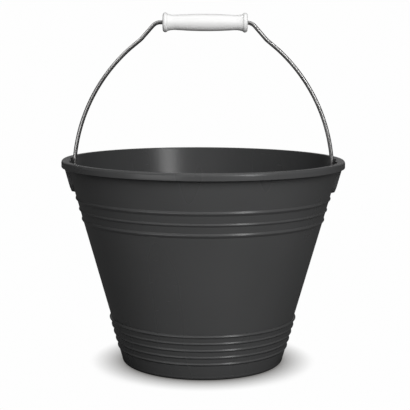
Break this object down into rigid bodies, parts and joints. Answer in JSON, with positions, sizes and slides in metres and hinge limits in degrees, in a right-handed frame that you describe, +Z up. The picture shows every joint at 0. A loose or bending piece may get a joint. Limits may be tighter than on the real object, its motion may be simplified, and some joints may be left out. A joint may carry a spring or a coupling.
{
  "type": "florist bucket",
  "caption": "Tapered moulded plastic flower bucket with beaded wall, turned-over rim, swinging wire bail and loose hand grip.",
  "frame": {"origin": "centre of the base, on the ground plane", "axes": "+Z up along the bucket's axis, +X through the right-hand ear along the bail's pivot line, -Y towards the viewer"},
  "size_m": [0.3186, 0.3186, 0.3951],
  "materials": {
    "bucket_plastic": "semi-gloss moulded polypropylene, charcoal",
    "bail_steel": "bright drawn and plated steel wire",
    "grip_plastic": "glossy moulded plastic, white"
  },
  "bodies": {
    "bucket": {"bucket_body": "bucket_plastic"},
    "bail": {"bail_wire": "bail_steel"},
    "grip": {"hand_grip": "grip_plastic"}
  },
  "joints": [
    {"name": "bail_swing", "type": "hinge", "parent": "bucket", "child": "bail", "pos_m": [0, 0, 0.222], "axis": [1, 0, 0], "range_deg": [-82, 82]},
    {"name": "grip_spin", "type": "hinge", "parent": "bail", "child": "grip", "pos_m": [0, 0, 0.3842], "axis": [1, 0, 0], "continuous": true}
  ]
}
